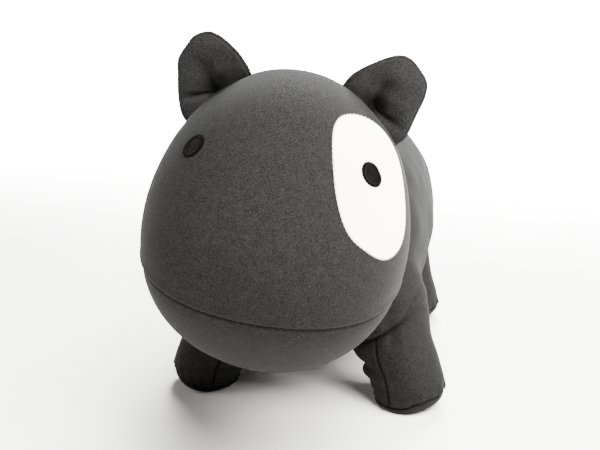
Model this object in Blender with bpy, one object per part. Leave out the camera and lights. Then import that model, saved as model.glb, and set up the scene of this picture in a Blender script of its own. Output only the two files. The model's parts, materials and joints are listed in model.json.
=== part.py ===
"""Plush dog with a big egg-shaped head, a round body, four stubby legs, two ears and a short tail.

Metres, +Z up. The dog faces -Y, its own left side is +X, and it stands on z = 0.
Every sewn part is a fabric cover, an open shell, around its own stuffing.
Each moving part hangs on an empty that sits on its joint.
"""

import math

import bmesh
import bpy
import numpy as np
from mathutils import Matrix, Vector

MM = 0.001

# Fabric, seams and clearances
FABRIC = 1.2 * MM
SEAM_GAP = 0.4 * MM
JOINT_GAP = 1.0 * MM
THREAD_RADIUS = 0.5 * MM

# Head: an egg whose long axis points forward and slightly down
HEAD_CENTRE = Vector((-0.8, -74.0, 126.0)) * MM
HEAD_HALF_WIDTH = 65.5 * MM
HEAD_HALF_LENGTH = 88.2 * MM
HEAD_HALF_HEIGHT = 78.1 * MM
HEAD_WIDTH_TAPER = (0.07, 0.29)
HEAD_HEIGHT_TAPER = (0.09, -0.25)
HEAD_TURN = math.radians(6.5)
HEAD_PITCH = math.radians(9.7)
HEAD_TILT = math.radians(8.6)
HEAD_COLUMNS = 30
HEAD_CROWDING = 0.55
ROW_CROWDING = 1.3
MOUTH_DROOP = math.radians(3.0)
MOUTH_DROOP_FROM = math.radians(22.0)
MOUTH_DROOP_TO = math.radians(40.0)
MOUTH_THREAD_REACH = 76.0

# Neck: a ball at the back of the head that sits in a socket in the body
NECK = Vector((0.0, -22.0, 123.0)) * MM
NECK_RADIUS = 52.0 * MM
NECK_AXIS_DROP = math.radians(25.0)
NECK_GAP = 2.2 * MM
NECK_RING_ANGLE = math.radians(62.0)
BALL_ENDS = math.radians(76.0)
EGG_STARTS = math.radians(108.0)
HEAD_TURN_RANGE = 15.0
HEAD_NOD_RANGE = 10.0

# Eyes and the patch round the left eye, as points on the head in its own axes
EYE_POINT = Vector((40.4, -44.4, 50.2)) * MM
EYE_RADIUS = 6.3 * MM
EMBROIDERY = 0.9 * MM
APPLIQUE_LIFT = 0.5 * MM
APPLIQUE_LEAN = (1.0, 0.9, 0.7)
PATCH_CENTRE = Vector((42.0, -41.0, 43.5)) * MM
PATCH_HALF_WIDTH = 27.0 * MM
PATCH_HALF_HEIGHT = 34.0 * MM

# Ears: two layers of fabric over a thin wadding, hinged on their base seam
EAR_INNER_BASE = (math.radians(112.0), math.radians(66.0))
EAR_OUTER_BASE = (math.radians(99.0), math.radians(38.0))
EAR_HEIGHT = 31.0 * MM
EAR_SKEW = -5.0 * MM
EAR_CUP = 4.0 * MM
EAR_WADDING = 2.6 * MM
EAR_BASE_WADDING = 0.8 * MM
EAR_BASE_GAP = 2.4 * MM
EAR_WADDING_SKIN = 0.15 * MM
EAR_ROWS = (0.0, 0.2, 0.45, 0.7, 0.87, 0.95, 0.985)
EAR_COLUMNS = 9
EAR_TAPER = 4

# Body: a rounded block with two side panels over a belly gusset
BODY_CENTRE = Vector((0.0, 54.0, 89.0)) * MM
BODY_HALF = Vector((66.0, 93.0, 71.0)) * MM
BODY_PLAN_SQUARENESS = 2.8
BODY_SIDE_SQUARENESS = 2.3
GUSSET_HALF_ANGLE = math.radians(38.0)
BODY_SEAM_HALF_ANGLE = math.radians(0.3)
BODY_END_ANGLE = 4.0

# Legs: hip and sole centres of the left pair, mirrored to the right
FRONT_HIP = Vector((50.0, -8.0, 60.0)) * MM
FRONT_SOLE = Vector((63.0, -20.0, 0.0)) * MM
REAR_HIP = Vector((40.0, 102.0, 58.0)) * MM
REAR_SOLE = Vector((48.0, 119.0, 0.0)) * MM
LEG_RADIUS = 21.0 * MM
SOLE_RADIUS = 15.5 * MM
SOLE_THICKNESS = 1.2 * MM
SOLE_FLARE = 0.8 * MM
LEG_BEND = 1.6
LEG_PROFILE = ((1.6, 17.6), (5.0, 19.8), (12.0, 20.8), (26.0, 21.3), (42.0, 21.2))
LEG_SIDES = 14
LEG_RANGE = 15.0

# Tail: a short upright cone
TAIL_ROOT = Vector((0.0, 139.4, 112.0)) * MM
TAIL_LENGTH = 30.0 * MM
TAIL_ROOT_RADIUS = 9.0 * MM
TAIL_TIP_RADIUS = 6.0 * MM
TAIL_RISE = math.radians(48.0)
TAIL_RANGE = 25.0

CHARCOAL = (0.045, 0.043, 0.042, 1.0)
BLACK = (0.008, 0.008, 0.008, 1.0)
CREAM = (0.91, 0.89, 0.85, 1.0)
FILLING = (0.80, 0.80, 0.78, 1.0)


# ---------------------------------------------------------------- materials and objects


def make_material(name, colour, roughness):
    """A plain Principled material for one kind of cloth, thread or filling."""
    material = bpy.data.materials.new(name)
    material.use_nodes = True
    shader = material.node_tree.nodes["Principled BSDF"]
    shader.inputs["Base Color"].default_value = colour
    shader.inputs["Roughness"].default_value = roughness
    shader.inputs["Metallic"].default_value = 0.0
    material.diffuse_color = colour
    return material


def make_pivot(name, place, parent=None):
    """An empty on a joint's axis, with the world's own directions."""
    pivot = bpy.data.objects.new(name, None)
    bpy.context.scene.collection.objects.link(pivot)
    pivot.parent = parent
    pivot.location = place - (world_place(parent) if parent else Vector())
    pivot["place"] = place[:]
    return pivot


def world_place(pivot):
    """Where an empty made by make_pivot stands in the world."""
    return Vector(pivot["place"])


def add_object(name, mesh, material, pivot):
    """Links a mesh whose points are in world metres to its pivot."""
    mesh.transform(Matrix.Translation(-world_place(pivot)))
    mesh.materials.clear()
    mesh.materials.append(material)
    mesh.shade_smooth()
    mesh.set_sharp_from_angle(angle=math.radians(40.0))
    piece = bpy.data.objects.new(name, mesh)
    bpy.context.scene.collection.objects.link(piece)
    piece.parent = pivot
    return piece


# ---------------------------------------------------------------- closed solids from grids


def add_grid(mesh, points, wrap):
    """Adds rows of points as triangles split one way, and returns the rows of vertices."""
    rows = [[mesh.verts.new(p) for p in row] for row in points]
    count = len(rows[0])
    steps = count if wrap else count - 1
    for low, high in zip(rows, rows[1:]):
        for i in range(steps):
            j = (i + 1) % count
            mesh.faces.new((low[i], low[j], high[j]))
            mesh.faces.new((low[i], high[j], high[i]))
    return rows


def close_mesh(mesh, name):
    """Merges the points at poles, turns every face outward and returns the mesh."""
    bmesh.ops.remove_doubles(mesh, verts=mesh.verts[:], dist=0.002 * MM)
    bmesh.ops.dissolve_degenerate(mesh, edges=mesh.edges[:], dist=0.001 * MM)
    bmesh.ops.recalc_face_normals(mesh, faces=mesh.faces[:])
    data = bpy.data.meshes.new(name)
    mesh.to_mesh(data)
    mesh.free()
    return data


def solid_mesh(name, points):
    """A closed skin from rings of points, each end closed by a pole or a flat cap."""
    mesh = bmesh.new()
    rows = add_grid(mesh, points, True)
    for row, ring in ((rows[0], points[0]), (rows[-1], points[-1])):
        if np.ptp(np.array(ring), axis=0).max() > 0.01 * MM:
            mesh.faces.new(row)
    return close_mesh(mesh, name)


def shell_mesh(name, outer, inner, wrap=True):
    """A sheet of fabric between two grids of points, closed along its free edges."""
    mesh = bmesh.new()
    outside = add_grid(mesh, outer, wrap)
    inside = add_grid(mesh, inner, wrap)
    edges = [(outside[0], inside[0]), (outside[-1], inside[-1])]
    if not wrap:
        edges.append(([row[0] for row in outside], [row[0] for row in inside]))
        edges.append(([row[-1] for row in outside], [row[-1] for row in inside]))
    for first, second in edges:
        steps = len(first) if wrap else len(first) - 1
        for i in range(steps):
            j = (i + 1) % len(first)
            mesh.faces.new((first[i], first[j], second[j], second[i]))
    return close_mesh(mesh, name)


def tube_mesh(name, path, radius, sides, closed):
    """A round thread along a path of world points."""
    path = [Vector(p) for p in path]
    count = len(path)
    rings = []
    for i, point in enumerate(path):
        before = path[(i - 1) % count] if closed or i else path[0]
        after = path[(i + 1) % count] if closed or i < count - 1 else path[-1]
        along = (after - before).normalized()
        side = along.cross(Vector((0.0, 0.0, 1.0)))
        if side.length < 0.1:
            side = along.cross(Vector((0.0, 1.0, 0.0)))
        side.normalize()
        up = side.cross(along)
        angles = [2.0 * math.pi * k / sides for k in range(sides)]
        rings.append([point + radius * (math.cos(a) * side + math.sin(a) * up) for a in angles])
    if not closed:
        return solid_mesh(name, rings)
    mesh = bmesh.new()
    add_grid(mesh, rings + [rings[0]], True)
    return close_mesh(mesh, name)


def swept_hull(name, points, pivot, turns, gap):
    """The convex space that a part's points fill as it turns about its pivot, plus a gap."""
    points = np.array(points, float).reshape(-1, 3)
    middle = points.mean(axis=0)
    away = points - middle
    away /= np.linalg.norm(away, axis=1)[:, None]
    grown = points + gap * away
    mesh = bmesh.new()
    for turn in turns:
        for p in grown:
            mesh.verts.new(pivot + turn @ (Vector(p) - pivot))
    hull = bmesh.ops.convex_hull(mesh, input=mesh.verts[:])
    loose = [v for v in hull["geom_interior"] if isinstance(v, bmesh.types.BMVert)]
    bmesh.ops.delete(mesh, geom=loose, context="VERTS")
    bmesh.ops.dissolve_limit(
        mesh, angle_limit=math.radians(4.0), verts=mesh.verts[:], edges=mesh.edges[:]
    )
    return close_mesh(mesh, name)


def cut(mesh, cutters):
    """The mesh with every cutter taken away, keeping its largest body."""
    work = bpy.data.objects.new("work", mesh)
    bpy.context.scene.collection.objects.link(work)
    for cutter in cutters:
        boolean = work.modifiers.new(cutter.name, "BOOLEAN")
        boolean.operation = "DIFFERENCE"
        boolean.solver = "EXACT"
        boolean.object = cutter
    graph = bpy.context.evaluated_depsgraph_get()
    result = bpy.data.meshes.new_from_object(work.evaluated_get(graph))
    bpy.data.objects.remove(work)
    keep_largest_body(result)
    return result


def keep_largest_body(data):
    """Deletes every loose scrap of a mesh but the one with most points."""
    mesh = bmesh.new()
    mesh.from_mesh(data)
    left = set(mesh.verts)
    bodies = []
    while left:
        queue = [left.pop()]
        body = set(queue)
        while queue:
            for edge in queue.pop().link_edges:
                for vertex in edge.verts:
                    if vertex not in body:
                        body.add(vertex)
                        queue.append(vertex)
        left -= body
        bodies.append(body)
    bodies.sort(key=len)
    scraps = [v for body in bodies[:-1] for v in body]
    bmesh.ops.delete(mesh, geom=scraps, context="VERTS")
    mesh.to_mesh(data)
    mesh.free()


def add_cutter(name, mesh):
    """A guide that Boolean cuts read and that isn't part of the dog."""
    cutter = bpy.data.objects.new(name, mesh)
    bpy.context.scene.collection.objects.link(cutter)
    cutter.hide_render = True
    cutter.display_type = "WIRE"
    return cutter


# ---------------------------------------------------------------- the head's surface


HEAD_AXES = (
    Matrix.Rotation(HEAD_TURN, 3, "Z")
    @ Matrix.Rotation(HEAD_PITCH, 3, "X")
    @ Matrix.Rotation(HEAD_TILT, 3, "Y")
)
HEAD_ARRAY = np.array(HEAD_AXES)
NECK_ARRAY = np.array(NECK)
NECK_AXIS = np.array((0.0, math.cos(NECK_AXIS_DROP), -math.sin(NECK_AXIS_DROP)))


def smooth_step(low, high, value):
    """0 below low, 1 above high, smooth between."""
    t = np.clip((value - low) / (high - low), 0.0, 1.0)
    return t * t * (3.0 - 2.0 * t)


def egg_section(forward):
    """The egg's half width and half height, a share of its half length forward of its centre."""
    near, far = HEAD_WIDTH_TAPER
    width = HEAD_HALF_WIDTH * (1.0 + near * forward + far * forward**2)
    near, far = HEAD_HEIGHT_TAPER
    height = HEAD_HALF_HEIGHT * (1.0 + near * forward + far * forward**2)
    return width, height


def egg_depth(points):
    """Below 1 inside the egg, above 1 outside it, for world points."""
    local = (points - np.array(HEAD_CENTRE)) @ HEAD_ARRAY
    forward = -local[..., 1] / HEAD_HALF_LENGTH
    width, height = egg_section(forward)
    return (local[..., 0] / width) ** 2 + forward**2 + (local[..., 2] / height) ** 2


def head_radius(directions):
    """Distance from the neck to the head's surface: a ball at the back, the egg in front."""
    low = np.full(directions.shape[:-1], 5.0 * MM)
    high = np.full(directions.shape[:-1], 220.0 * MM)
    for _ in range(36):
        middle = (low + high) / 2.0
        inside = egg_depth(NECK_ARRAY + directions * middle[..., None]) < 1.0
        low = np.where(inside, middle, low)
        high = np.where(inside, high, middle)
    angle = np.arccos(np.clip(directions @ NECK_AXIS, -1.0, 1.0))
    share = smooth_step(BALL_ENDS, EGG_STARTS, angle)
    return NECK_RADIUS * (1.0 - share) + low * share


def head_direction(turn, lift):
    """Unit directions from the neck; turn 0 is forward and lift 0 is the mouth's level."""
    turn, lift = np.broadcast_arrays(turn, lift)
    local = np.stack(
        [np.cos(lift) * np.sin(turn), -np.cos(lift) * np.cos(turn), np.sin(lift)],
        axis=-1,
    )
    return local @ HEAD_ARRAY.T


def head_points(turn, lift, depth=0.0):
    """World points on the head's surface, or that far below it."""
    directions = head_direction(turn, lift)
    radius = head_radius(directions) - depth
    return NECK_ARRAY + directions * radius[..., None]


def mouth_lift(turn):
    """The mouth seam's lift above the neck's level; it droops at the cheeks."""
    wrapped = np.abs(np.arctan2(np.sin(turn), np.cos(turn)))
    return -MOUTH_DROOP * smooth_step(MOUTH_DROOP_FROM, MOUTH_DROOP_TO, wrapped)


def turns_round_head(count):
    """Angles round the head, closer together at the muzzle, where it is furthest away."""
    steps = np.arange(count) * 2.0 * math.pi / count
    return steps - HEAD_CROWDING * np.sin(steps)


def head_rows(turn, rows, side):
    """Lifts from the mouth seam to the crown (side 1) or under the chin (side -1)."""
    seam = mouth_lift(turn)
    directions = head_direction(turn, seam)
    clearance = (THREAD_RADIUS + SEAM_GAP) / head_radius(directions)
    start = seam + side * clearance
    share = (np.arange(rows + 1) / rows) ** ROW_CROWDING
    return start + share[:, None] * (side * math.pi / 2.0 - start)


def head_local_point(point):
    """A point given in the head's own axes, in the world."""
    return HEAD_CENTRE + HEAD_AXES @ point


# ---------------------------------------------------------------- head pieces


def make_head(pivot, cloth, thread, cream, filling):
    """The two head panels, their stuffing, the mouth thread, the patch and the eyes."""
    turn = turns_round_head(HEAD_COLUMNS)
    crown = head_rows(turn, 9, 1)
    chin = head_rows(turn, 6, -1)
    turns = np.broadcast_to(turn, crown.shape)
    upper = shell_mesh(
        "head_upper_panel", head_points(turns, crown), head_points(turns, crown, FABRIC)
    )
    add_object("head_upper_panel", upper, cloth, pivot)
    chin = chin[::-1]
    turns = np.broadcast_to(turn, chin.shape)
    jaw = shell_mesh("jaw_panel", head_points(turns, chin), head_points(turns, chin, FABRIC))
    add_object("jaw_panel", jaw, cloth, pivot)
    lifts = np.concatenate([chin, crown])
    turns = np.broadcast_to(turn, lifts.shape)
    depth = FABRIC + SEAM_GAP
    stuffing = solid_mesh("head_stuffing", head_points(turns, lifts, depth))
    add_object("head_stuffing", stuffing, filling, pivot)
    steps = np.radians(np.linspace(-MOUTH_THREAD_REACH, MOUTH_THREAD_REACH, 37))
    seam = tube_mesh(
        "mouth_thread", head_points(steps, mouth_lift(steps)), THREAD_RADIUS, 6, False
    )
    add_object("mouth_thread", seam, thread, pivot)
    patch = applique_mesh(
        "eye_patch", PATCH_CENTRE, PATCH_HALF_WIDTH, PATCH_HALF_HEIGHT, APPLIQUE_LIFT, 28, 5
    )
    add_object("eye_patch", patch, cream, pivot)
    mirrored = Vector((-EYE_POINT.x, EYE_POINT.y, EYE_POINT.z))
    right = applique_mesh("right_eye", mirrored, EYE_RADIUS, EYE_RADIUS, APPLIQUE_LIFT, 16, 2)
    add_object("right_eye", right, thread, pivot)
    lift = APPLIQUE_LIFT + EMBROIDERY + SEAM_GAP
    left = applique_mesh("left_eye", EYE_POINT, EYE_RADIUS, EYE_RADIUS, lift, 16, 2)
    add_object("left_eye", left, thread, pivot)


def applique_mesh(name, centre, half_width, half_height, lift, count, rows):
    """An oval of cloth or stitching that follows the head, lifted off its surface."""
    out = (centre * Vector(APPLIQUE_LEAN)).normalized()
    across = out.cross(Vector((0.0, 0.0, 1.0))).normalized()
    up = across.cross(out)
    angles = np.arange(count) * 2.0 * math.pi / count
    rings = []
    for share in np.linspace(0.0, 1.0, rows + 1):
        ring = []
        for a in angles:
            offset = across * (share * half_width * math.cos(a))
            offset += up * (share * half_height * math.sin(a))
            ring.append(np.array(head_local_point(centre + offset)))
        rings.append(ring)
    directions = np.array(rings) - NECK_ARRAY
    directions /= np.linalg.norm(directions, axis=-1)[..., None]
    radius = head_radius(directions)
    bottom = NECK_ARRAY + directions * (radius + lift)[..., None]
    top = NECK_ARRAY + directions * (radius + lift + EMBROIDERY)[..., None]
    return shell_mesh(name, top, bottom)


# ---------------------------------------------------------------- ears


def ear_base_point(azimuth, elevation, side):
    """A point on the head's surface under an ear's base, in the head's own axes."""
    across = math.sin(azimuth) * math.cos(elevation)
    forward = math.cos(azimuth) * math.cos(elevation)
    up = math.sin(elevation)
    width, height = egg_section(forward)
    return Vector((side * width * across, -HEAD_HALF_LENGTH * forward, height * up))


def ear_frame(side):
    """The ear's hinge point and its across, facing and up directions, in the world."""
    inner = head_local_point(ear_base_point(*EAR_INNER_BASE, side))
    outer = head_local_point(ear_base_point(*EAR_OUTER_BASE, side))
    across = (outer - inner).normalized()
    centre = (inner + outer) / 2.0
    out = (centre - HEAD_CENTRE).normalized()
    facing = across.cross(out).normalized() * side
    up = facing.cross(across) * side
    half_width = (outer - inner).length / 2.0
    return centre, across, facing, up, half_width


def make_ear(word, side, head, cloth, filling):
    """A flap of front panel, wadding and back panel, standing on its base seam."""
    centre, across, facing, up, half_width = ear_frame(side)
    middle = [(a + b) / 2.0 for a, b in zip(EAR_INNER_BASE, EAR_OUTER_BASE)]
    crown = (head_local_point(ear_base_point(*middle, side)) - centre).dot(up)
    pivot = make_pivot(word + "_ear_pivot", centre, head)
    columns = np.linspace(-1.0, 1.0, EAR_COLUMNS)

    def sheet(layer):
        """Points of the ear on one face: layer is the distance from the wadding's face."""
        rows = []
        for v in EAR_ROWS:
            taper = math.sqrt(1.0 - v**EAR_TAPER)
            reach = half_width * taper
            row = []
            for u in columns:
                wadding = EAR_BASE_WADDING + EAR_WADDING * math.sin(math.pi * min(v + 0.1, 1.0))
                thick = wadding * math.sqrt(max(1.0 - u * u, 0.0)) * taper
                shift = EAR_CUP * (1.0 - u * u) * v
                rise = EAR_BASE_GAP + EAR_HEIGHT * v + crown * (1.0 - u * u) * (1.0 - v)
                point = centre + across * (u * reach + EAR_SKEW * v) + up * rise
                point -= facing * shift
                point += facing * (math.copysign(thick, layer) + layer)
                row.append(point)
            rows.append(row)
        return rows

    near = SEAM_GAP
    far = SEAM_GAP + FABRIC
    front = shell_mesh(word + "_ear_front_panel", sheet(far), sheet(near), False)
    add_object(word + "_ear_front_panel", front, cloth, pivot)
    back = shell_mesh(word + "_ear_back_panel", sheet(-far), sheet(-near), False)
    add_object(word + "_ear_back_panel", back, cloth, pivot)
    skin = EAR_WADDING_SKIN
    wadding = shell_mesh(word + "_ear_wadding", sheet(skin), sheet(-skin), False)
    add_object(word + "_ear_wadding", wadding, filling, pivot)


# ---------------------------------------------------------------- body


def body_radius(directions):
    """Distance from the body's centre to its surface."""
    x, y, z = (np.abs(directions[..., i]) / BODY_HALF[i] for i in range(3))
    plan = x**BODY_PLAN_SQUARENESS + y**BODY_PLAN_SQUARENESS
    side = BODY_SIDE_SQUARENESS
    return (plan ** (side / BODY_PLAN_SQUARENESS) + z**side) ** (-1.0 / side)


def body_points(angles, slants, depth):
    """Points round the body's long axis: angle 0 is up, and slant runs from front to back."""
    angle, slant = np.meshgrid(angles, slants)
    directions = np.stack(
        [np.sin(slant) * np.sin(angle), -np.cos(slant), np.sin(slant) * np.cos(angle)],
        axis=-1,
    )
    radius = body_radius(directions) - depth
    return np.array(BODY_CENTRE) + directions * radius[..., None]


def make_body(pivot, cutters, cloth, filling):
    """The side panels, the belly gusset and the stuffing, cut where other parts move."""
    slants = np.radians(np.linspace(BODY_END_ANGLE, 180.0 - BODY_END_ANGLE, 17))
    seam = BODY_SEAM_HALF_ANGLE
    belly = math.pi - GUSSET_HALF_ANGLE
    panels = {
        "left_side_panel": np.linspace(seam, belly - seam, 11),
        "belly_gusset": np.linspace(belly + seam, 2.0 * math.pi - belly - seam, 7),
        "right_side_panel": np.linspace(2.0 * math.pi - belly + seam, 2.0 * math.pi - seam, 11),
    }
    for name, angles in panels.items():
        outer = body_points(angles, slants, 0.0)
        inner = body_points(angles, slants, FABRIC)
        panel = cut(shell_mesh(name, outer, inner, False), cutters)
        add_object(name, panel, cloth, pivot)
    angles = np.concatenate(list(panels.values()))
    skin = body_points(angles, slants, FABRIC + SEAM_GAP)
    stuffing = cut(solid_mesh("body_stuffing", skin), cutters)
    add_object("body_stuffing", stuffing, filling, pivot)


# ---------------------------------------------------------------- legs


def leg_rings(hip, sole, depth, first, dome):
    """Level rings from the foot up to the hip, then a dome centred on the hip."""
    rings = []
    angles = [2.0 * math.pi * k / LEG_SIDES for k in range(LEG_SIDES)]

    def ring(centre, radius):
        return [centre + radius * Vector((math.cos(a), math.sin(a), 0.0)) for a in angles]

    for height, radius in LEG_PROFILE:
        z = max(height * MM, first)
        share = (z / hip.z) ** LEG_BEND
        centre = Vector((sole.x, sole.y, 0.0)).lerp(Vector((hip.x, hip.y, 0.0)), share)
        centre.z = z
        rings.append(ring(centre, radius * MM - depth))
    for angle in dome:
        lift = math.radians(angle)
        radius = LEG_RADIUS - depth
        centre = hip + Vector((0.0, 0.0, radius * math.sin(lift)))
        rings.append(ring(centre, max(radius * math.cos(lift), 0.0)))
    return rings


def make_leg(word, hip, sole, root, materials):
    """A leg's tubular cover, its sole and its stuffing; returns the space it swings in."""
    cloth, filling = materials
    pivot = make_pivot(word + "_hip_pivot", hip, root)
    open_top = (0.0, 25.0, 48.0, 68.0)
    low = SOLE_THICKNESS + SEAM_GAP
    outer = leg_rings(hip, sole, 0.0, low, open_top)
    inner = leg_rings(hip, sole, FABRIC, low, open_top)
    cover = shell_mesh(word + "_leg_cover", outer, inner)
    add_object(word + "_leg_cover", cover, cloth, pivot)
    dome = (0.0, 25.0, 45.0, 65.0, 90.0)
    filled = leg_rings(hip, sole, FABRIC + SEAM_GAP, low, dome)
    stuffing = solid_mesh(word + "_leg_stuffing", filled)
    add_object(word + "_leg_stuffing", stuffing, filling, pivot)
    angles = [2.0 * math.pi * k / 20 for k in range(20)]
    disc = []
    for z, radius in ((0.0, SOLE_RADIUS), (SOLE_THICKNESS, SOLE_RADIUS + SOLE_FLARE)):
        flat = [Vector((radius * math.cos(a), radius * math.sin(a), 0.0)) for a in angles]
        disc.append([Vector((sole.x, sole.y, z)) + p for p in flat])
    add_object(word + "_sole", solid_mesh(word + "_sole", disc), cloth, pivot)
    swing = [Matrix.Rotation(math.radians(a), 3, "X") for a in (-LEG_RANGE, 0.0, LEG_RANGE)]
    space = leg_rings(hip, sole, 0.0, low, (0.0, 25.0, 50.0, 75.0, 90.0))
    hull = swept_hull(word + "_leg_space", space, hip, swing, JOINT_GAP)
    return add_cutter(word + "_leg_space", hull)


# ---------------------------------------------------------------- tail


def make_tail(root, cloth, filling):
    """A short cone on a ball that turns in the rump; returns the space it swings in."""
    along = Vector((0.0, math.cos(TAIL_RISE), math.sin(TAIL_RISE)))
    side = Vector((1.0, 0.0, 0.0))
    up = side.cross(along)
    pivot = make_pivot("tail_pivot", TAIL_ROOT, root)
    angles = [2.0 * math.pi * k / 12 for k in range(12)]

    def rings(depth, closed):
        """Rings from the ball inside the rump to the round tip."""
        found = []
        for angle in (-90.0, -60.0, -30.0) if closed else (-30.0,):
            lift = math.radians(angle)
            radius = TAIL_ROOT_RADIUS - depth
            found.append((radius * math.sin(lift), radius * math.cos(lift)))
        found.append((0.0, TAIL_ROOT_RADIUS - depth))
        neck = TAIL_LENGTH - TAIL_TIP_RADIUS
        for angle in (0.0, 30.0, 60.0, 90.0):
            lift = math.radians(angle)
            radius = TAIL_TIP_RADIUS - depth
            found.append((neck + radius * math.sin(lift), radius * math.cos(lift)))
        return [
            [TAIL_ROOT + along * s + r * (math.cos(a) * side + math.sin(a) * up) for a in angles]
            for s, r in found
        ]

    cover = shell_mesh("tail_cover", rings(0.0, False), rings(FABRIC, False))
    add_object("tail_cover", cover, cloth, pivot)
    stuffing = solid_mesh("tail_stuffing", rings(FABRIC + SEAM_GAP, True))
    add_object("tail_stuffing", stuffing, filling, pivot)
    swing = [Matrix.Rotation(math.radians(a), 3, "Z") for a in (-TAIL_RANGE, 0.0, TAIL_RANGE)]
    hull = swept_hull("tail_space", rings(0.0, True), TAIL_ROOT, swing, JOINT_GAP)
    return add_cutter("tail_space", hull)


# ---------------------------------------------------------------- neck


def make_neck_ring(pivot, thread):
    """The hand-sewn ring of thread between the head's ball and the body's socket."""
    axis = Vector(NECK_AXIS)
    side = Vector((1.0, 0.0, 0.0))
    up = side.cross(axis)
    middle = NECK_RADIUS + NECK_GAP / 2.0
    centre = NECK + axis * (middle * math.cos(NECK_RING_ANGLE))
    radius = middle * math.sin(NECK_RING_ANGLE)
    steps = [2.0 * math.pi * k / 36 for k in range(36)]
    path = [centre + radius * (math.cos(a) * side + math.sin(a) * up) for a in steps]
    ring = tube_mesh("neck_seam_thread", path, THREAD_RADIUS, 6, True)
    add_object("neck_seam_thread", ring, thread, pivot)


def head_space():
    """The space the head turns and nods in, as a cutter for the body."""
    turn = turns_round_head(24)
    lifts = np.concatenate([head_rows(turn, 5, -1)[::-1], head_rows(turn, 8, 1)])
    points = head_points(np.broadcast_to(turn, lifts.shape), lifts)
    moves = []
    for yaw in (-HEAD_TURN_RANGE, 0.0, HEAD_TURN_RANGE):
        for nod in (-HEAD_NOD_RANGE, 0.0, HEAD_NOD_RANGE):
            yawed = Matrix.Rotation(math.radians(yaw), 3, "Z")
            moves.append(yawed @ Matrix.Rotation(math.radians(nod), 3, "X"))
    hull = swept_hull("head_space", points, NECK, moves, NECK_GAP)
    return add_cutter("head_space", hull)


# ---------------------------------------------------------------- the whole dog


def main():
    """Clears the scene and builds the dog."""
    for thing in list(bpy.data.objects):
        bpy.data.objects.remove(thing)
    cloth = make_material("charcoal_knit", CHARCOAL, 0.95)
    thread = make_material("black_thread", BLACK, 0.6)
    cream = make_material("cream_felt", CREAM, 0.95)
    filling = make_material("fibre_filling", FILLING, 1.0)

    root = make_pivot("dog", Vector())
    neck = make_pivot("neck_pivot", NECK, root)
    make_neck_ring(neck, thread)
    make_head(neck, cloth, thread, cream, filling)
    make_ear("left", 1.0, neck, cloth, filling)
    make_ear("right", -1.0, neck, cloth, filling)

    cutters = [head_space(), make_tail(root, cloth, filling)]
    for pair, hip, sole in (("front", FRONT_HIP, FRONT_SOLE), ("rear", REAR_HIP, REAR_SOLE)):
        for word, side in (("left", 1.0), ("right", -1.0)):
            mirror = Matrix.Diagonal((side, 1.0, 1.0))
            name = pair + "_" + word
            cutters.append(make_leg(name, mirror @ hip, mirror @ sole, root, (cloth, filling)))
    make_body(root, cutters, cloth, filling)


main()
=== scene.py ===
"""The plush dog's looks: sewn charcoal knit skins, stitching, embroidery and a pale floor."""

import json
import math

import bmesh
import bpy
import numpy as np
from mathutils import Matrix, Vector


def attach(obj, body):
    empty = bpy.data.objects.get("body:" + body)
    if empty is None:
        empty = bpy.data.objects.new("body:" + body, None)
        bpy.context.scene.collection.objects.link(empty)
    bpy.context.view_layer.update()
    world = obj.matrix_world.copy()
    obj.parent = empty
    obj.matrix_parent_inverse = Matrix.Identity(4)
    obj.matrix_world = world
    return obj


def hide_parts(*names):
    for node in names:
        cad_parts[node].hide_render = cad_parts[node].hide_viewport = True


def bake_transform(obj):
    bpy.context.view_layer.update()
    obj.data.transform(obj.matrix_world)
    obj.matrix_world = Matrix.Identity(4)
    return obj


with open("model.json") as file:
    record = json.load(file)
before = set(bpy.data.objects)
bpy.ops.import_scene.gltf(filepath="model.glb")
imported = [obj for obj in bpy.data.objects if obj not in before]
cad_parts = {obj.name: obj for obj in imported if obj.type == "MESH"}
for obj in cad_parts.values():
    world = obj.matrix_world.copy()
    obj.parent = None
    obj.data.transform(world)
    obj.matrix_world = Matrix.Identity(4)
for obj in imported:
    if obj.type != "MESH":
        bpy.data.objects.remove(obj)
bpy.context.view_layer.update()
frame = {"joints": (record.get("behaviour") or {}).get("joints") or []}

MM = 0.001
CAMERA_BEARING = 13.1
CAMERA_HEIGHT = 16.4
CAMERA_DISTANCE = 0.524
CAMERA_TARGET = Vector((-3.5, -20.0, 106.0)) * MM
CAMERA_LENS = 54.0
WORLD_STRENGTH = 0.08
BACKDROP_STRENGTH = 15.0
# Painted light: how brightly the floor glows behind the dog, towards its left and far off; the glow
# lights the dog too.
FLOOR_BACK_GLOW = 19.0
FLOOR_SIDE_GLOW = 11.0
FLOOR_FAR_GLOW = 10.0
# Each softbox: its bearing from the dog's front towards its left, its height and its power.
SOFTBOXES = {
    "front_softbox": (45.0, 45.0, 23.0),
    "side_softbox": (90.0, 45.0, 31.0),
    "back_softbox": (180.0, 45.0, 78.0),
    "high_softbox": (45.0, 65.0, 59.0),
    "fill_softbox": (290.0, 25.0, 5.0),
}
SOFTBOX_SIZE = 0.5
SOFTBOX_DISTANCE = 1.1
SOFTBOX_TARGET = Vector((0.0, 0.0, 0.1))
FLOOR_SIZE = 16.0
FLOOR_COLOUR = (0.80, 0.785, 0.76, 1.0)
JOINTS = {joint["name"]: joint for joint in frame["joints"]}


def joint_place(name):
    """A joint's pivot point, as an array in metres."""
    return np.array(JOINTS[name]["pos_m"], float)


# ---------------------------------------------------------------- camera, light and floor


def away_from_front(bearing, height):
    """A unit vector at a bearing from the front towards the dog's left and a height, in degrees."""
    bearing, height = math.radians(bearing), math.radians(height)
    level = math.cos(height)
    return Vector((math.sin(bearing) * level, -math.cos(bearing) * level, math.sin(height)))


def place_facing(name, data, target, back, distance):
    """A camera or light that looks at a target from a distance along the vector back."""
    thing = bpy.data.objects.new(name, data)
    bpy.context.scene.collection.objects.link(thing)
    thing.location = target + back * distance
    thing.rotation_mode = "QUATERNION"
    thing.rotation_quaternion = (-back).to_track_quat("-Z", "Y")
    return thing


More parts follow.
